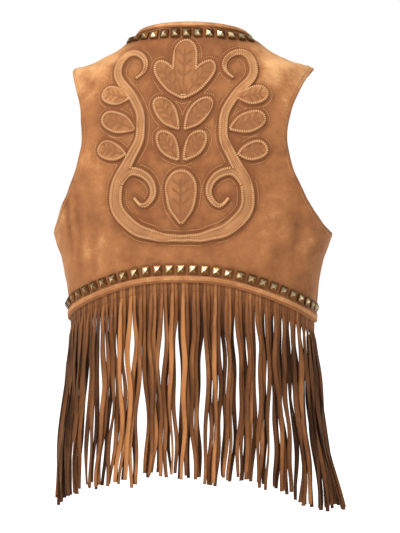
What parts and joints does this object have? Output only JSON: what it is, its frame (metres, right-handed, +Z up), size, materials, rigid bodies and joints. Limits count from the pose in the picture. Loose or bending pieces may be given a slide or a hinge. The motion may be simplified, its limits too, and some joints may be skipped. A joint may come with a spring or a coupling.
{
  "type": "leather vest",
  "caption": "Cropped suede vest, open at the front, with a raised stitched back ornament, rows of pyramid studs at neck and hem, and a long hanging fringe below the back hem.",
  "frame": {"origin": "between the shoulder seams, on the centre plane and the seam plane, at the height of the middle of the seams, where the vest hangs on a wearer's shoulders", "axes": "+Z up, +Y to the back of the vest, +X to the wearer's left"},
  "size_m": [0.4063, 0.2637, 0.6748],
  "materials": {
    "suede": "matte napped suede",
    "suede_fringe": "matte cut suede, darker than the panels",
    "brass_studs": "antique, polished on the edges"
  },
  "bodies": {
    "root": {"back": "suede", "front_left": "suede", "front_right": "suede", "neck_band_back": "suede", "hem_band_back": "suede", "fringe": "suede_fringe", "hem_stud_01": "brass_studs", "hem_stud_02": "brass_studs", "hem_stud_03": "brass_studs", "hem_stud_04": "brass_studs", "hem_stud_05": "brass_studs", "hem_stud_06": "brass_studs", "hem_stud_07": "brass_studs", "hem_stud_08": "brass_studs", "hem_stud_09": "brass_studs", "hem_stud_10": "brass_studs", "hem_stud_11": "brass_studs", "hem_stud_12": "brass_studs", "hem_stud_13": "brass_studs", "hem_stud_14": "brass_studs", "hem_stud_15": "brass_studs", "hem_stud_16": "brass_studs", "hem_stud_17": "brass_studs", "hem_stud_18": "brass_studs", "hem_stud_19": "brass_studs", "hem_stud_20": "brass_studs", "hem_stud_21": "brass_studs", "hem_stud_22": "brass_studs", "hem_stud_23": "brass_studs", "hem_stud_24": "brass_studs", "hem_stud_25": "brass_studs", "hem_stud_26": "brass_studs", "hem_stud_27": "brass_studs", "hem_stud_28": "brass_studs", "hem_stud_29": "brass_studs", "hem_stud_30": "brass_studs", "hem_stud_31": "brass_studs", "neck_stud_01": "brass_studs", "neck_stud_02": "brass_studs", "neck_stud_03": "brass_studs", "neck_stud_04": "brass_studs", "neck_stud_05": "brass_studs", "neck_stud_06": "brass_studs", "neck_stud_07": "brass_studs", "neck_stud_08": "brass_studs", "neck_stud_09": "brass_studs", "neck_stud_10": "brass_studs", "neck_stud_11": "brass_studs", "neck_stud_12": "brass_studs", "neck_stud_13": "brass_studs"}
  },
  "joints": []
}
